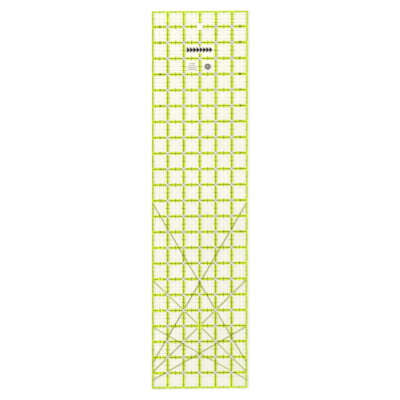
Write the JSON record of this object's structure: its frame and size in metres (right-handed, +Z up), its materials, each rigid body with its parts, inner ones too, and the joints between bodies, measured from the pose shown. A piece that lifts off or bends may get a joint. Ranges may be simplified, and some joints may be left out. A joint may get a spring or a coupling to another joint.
{
  "type": "quilting ruler",
  "caption": "Clear acrylic quilting ruler with neon-banded inch grid, angle guide lines, non-slip underside film and a hanging hole near one end.",
  "frame": {"origin": "middle of the underside, on the surface that the ruler lies on", "axes": "+Y along the ruler's length towards the end with the hanging hole, +X across its width, +Z up out of the face that is read"},
  "size_m": [0.1524, 0.6096, 0.003],
  "materials": {
    "clear_acrylic": "clear, polished faces, laser-cut edges",
    "black_ink": "screen-printed black ink, seen through the acrylic",
    "neon_ink": "screen-printed fluorescent yellow-green ink, slightly translucent",
    "non_slip_film": "clear, fine pebbled grip texture"
  },
  "bodies": {
    "root": {"acrylic_blank": "clear_acrylic", "inch_line_print": "black_ink", "angle_line_print": "black_ink", "neon_line_print": "neon_ink", "grip_film": "non_slip_film"}
  },
  "joints": []
}
